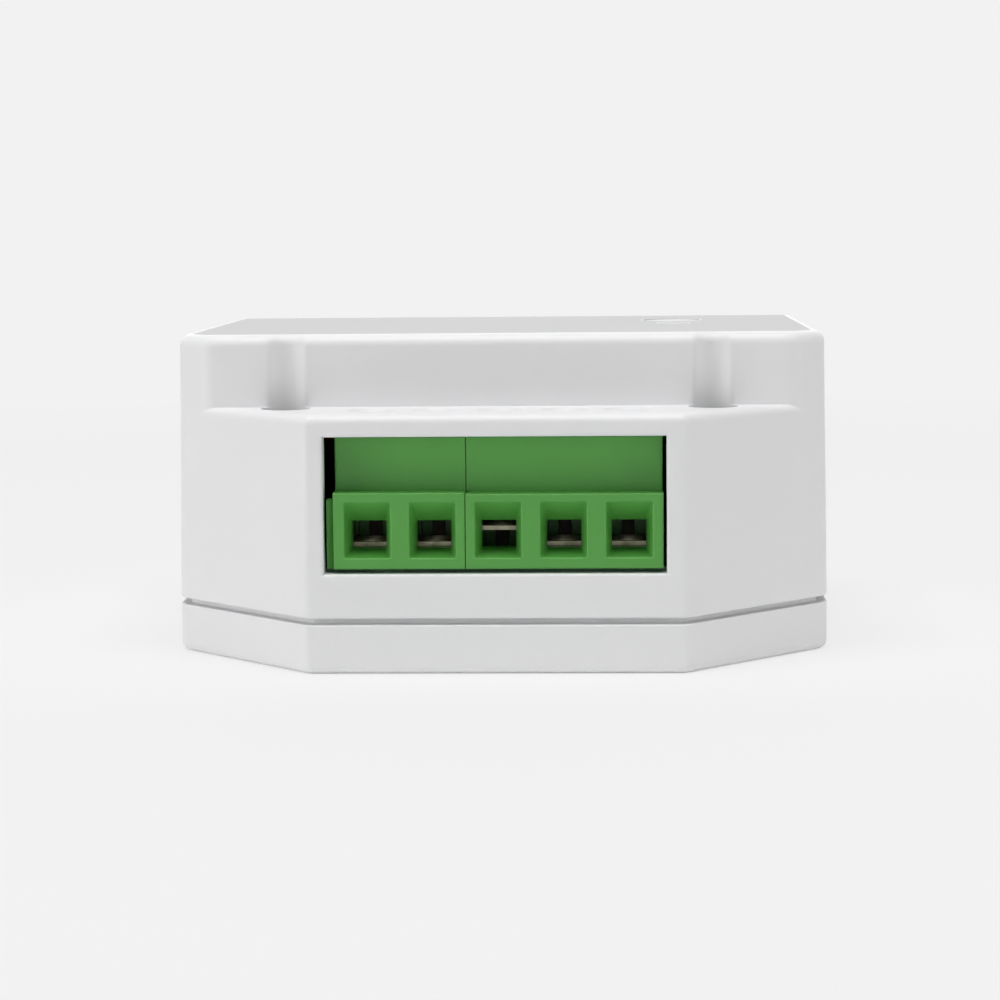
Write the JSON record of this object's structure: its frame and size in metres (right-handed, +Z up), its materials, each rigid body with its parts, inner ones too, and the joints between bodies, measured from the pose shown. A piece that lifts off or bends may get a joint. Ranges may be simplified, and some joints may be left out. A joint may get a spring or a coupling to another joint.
{
  "type": "in-wall dimmer module",
  "caption": "White two-part in-wall dimmer case with a green row of rising-clamp screw terminals, a screwdriver ledge, a flush setup button and its electronics inside.",
  "frame": {"origin": "centre of the flat base, at the height of the surface that the module rests on", "axes": "+X along the terminal row to the right as seen from the wired front, +Y to the back, +Z up to the labelled top"},
  "size_m": [0.0532, 0.046, 0.026],
  "materials": {
    "case_plastic": "fine matt moulded polycarbonate, white",
    "label_stock": "satin white label, bare",
    "terminal_plastic": "satin green polyamide",
    "zinc_steel": "zinc-plated steel",
    "cage_metal": "nickel-plated brass cage",
    "contact_metal": "dulled tin plate over brass",
    "tinned_copper": "tinned copper",
    "board_laminate": "green solder mask over glass laminate",
    "button_plastic": "light grey moulded plastic",
    "clear_plastic": "clear acrylic light pipe",
    "black_moulding": "black epoxy or polyester moulding",
    "aluminium": "bare aluminium",
    "copper_wire": "enamelled copper wire",
    "ferrite": "dark ferrite",
    "capacitor_box": "yellow potted box",
    "capacitor_sleeve": "dark shrink sleeve",
    "varistor_coat": "blue epoxy coat",
    "winding_tape": "yellow polyester tape",
    "silicone_pad": "grey silicone pad",
    "lamp_resin": "pale lamp resin"
  },
  "bodies": {
    "case": {"upper_housing": "case_plastic", "base_cover": "case_plastic", "identification_label": "label_stock", "case_screws": "zinc_steel", "terminal_block_two_way": "terminal_plastic", "terminal_block_three_way": "terminal_plastic", "contact_pins": "contact_metal", "main_board": "board_laminate", "fuse": "black_moulding", "varistor": "varistor_coat", "film_capacitor": "capacitor_box", "bulk_capacitor": "capacitor_sleeve", "output_capacitor": "capacitor_sleeve", "choke_core": "ferrite", "choke_winding": "copper_wire", "transformer_core": "ferrite", "transformer_bobbin": "black_moulding", "transformer_winding": "winding_tape", "insulating_pad": "silicone_pad", "heat_plate": "aluminium", "power_transistors": "black_moulding", "transistor_screws": "zinc_steel", "bridge_rectifier": "black_moulding", "optocouplers": "black_moulding", "supply_chip": "black_moulding", "chip_resistors": "black_moulding", "header_pins": "black_moulding", "socket_strip": "black_moulding", "radio_board": "board_laminate", "shield_can": "tinned_copper", "radio_chip": "black_moulding", "controller_chip": "black_moulding", "antenna_wire": "tinned_copper", "setup_switch": "black_moulding", "status_light": "lamp_resin", "light_pipe": "clear_plastic"},
    "screw_1": {"terminal_screw_1": "zinc_steel"},
    "clamp_1": {"clamp_cage_1": "cage_metal"},
    "screw_2": {"terminal_screw_2": "zinc_steel"},
    "clamp_2": {"clamp_cage_2": "cage_metal"},
    "screw_3": {"terminal_screw_3": "zinc_steel"},
    "clamp_3": {"clamp_cage_3": "cage_metal"},
    "screw_4": {"terminal_screw_4": "zinc_steel"},
    "clamp_4": {"clamp_cage_4": "cage_metal"},
    "screw_5": {"terminal_screw_5": "zinc_steel"},
    "clamp_5": {"clamp_cage_5": "cage_metal"},
    "button": {"setup_button": "button_plastic", "setup_switch_stem": "black_moulding"}
  },
  "joints": [
    {"name": "screw_1_turn", "type": "hinge", "parent": "case", "child": "screw_1", "pos_m": [-0.01001, -0.0172, 0.0163], "axis": [0, 0, 1], "range_deg": [-1372, 4]},
    {"name": "clamp_1_lift", "type": "slide", "parent": "case", "child": "clamp_1", "axis": [0, 0, 1], "range_m": [0, 0.0019]},
    {"name": "screw_2_turn", "type": "hinge", "parent": "case", "child": "screw_2", "pos_m": [-0.00493, -0.0172, 0.0163], "axis": [0, 0, 1], "range_deg": [-1372, 4]},
    {"name": "clamp_2_lift", "type": "slide", "parent": "case", "child": "clamp_2", "axis": [0, 0, 1], "range_m": [0, 0.0019]},
    {"name": "screw_3_turn", "type": "hinge", "parent": "case", "child": "screw_3", "pos_m": [0.00015, -0.0172, 0.0163], "axis": [0, 0, 1], "range_deg": [-472, 904]},
    {"name": "clamp_3_lift", "type": "slide", "parent": "case", "child": "clamp_3", "axis": [0, 0, 1], "range_m": [-0.00125, 0.00065]},
    {"name": "screw_4_turn", "type": "hinge", "parent": "case", "child": "screw_4", "pos_m": [0.00523, -0.0172, 0.0163], "axis": [0, 0, 1], "range_deg": [-1372, 4]},
    {"name": "clamp_4_lift", "type": "slide", "parent": "case", "child": "clamp_4", "axis": [0, 0, 1], "range_m": [0, 0.0019]},
    {"name": "screw_5_turn", "type": "hinge", "parent": "case", "child": "screw_5", "pos_m": [0.01031, -0.0172, 0.0163], "axis": [0, 0, 1], "range_deg": [-1372, 4]},
    {"name": "clamp_5_lift", "type": "slide", "parent": "case", "child": "clamp_5", "axis": [0, 0, 1], "range_m": [0, 0.0019]},
    {"name": "setup_button_press", "type": "slide", "parent": "case", "child": "button", "axis": [0, 0, 1], "range_m": [-0.0003, 0], "stiffness_N_per_m": 5000}
  ],
  "couplings": [
    {"joint": "screw_1_turn", "follows": "clamp_1_lift", "rad_per_m": -12566},
    {"joint": "screw_2_turn", "follows": "clamp_2_lift", "rad_per_m": -12566},
    {"joint": "screw_3_turn", "follows": "clamp_3_lift", "rad_per_m": -12566},
    {"joint": "screw_4_turn", "follows": "clamp_4_lift", "rad_per_m": -12566},
    {"joint": "screw_5_turn", "follows": "clamp_5_lift", "rad_per_m": -12566}
  ]
}
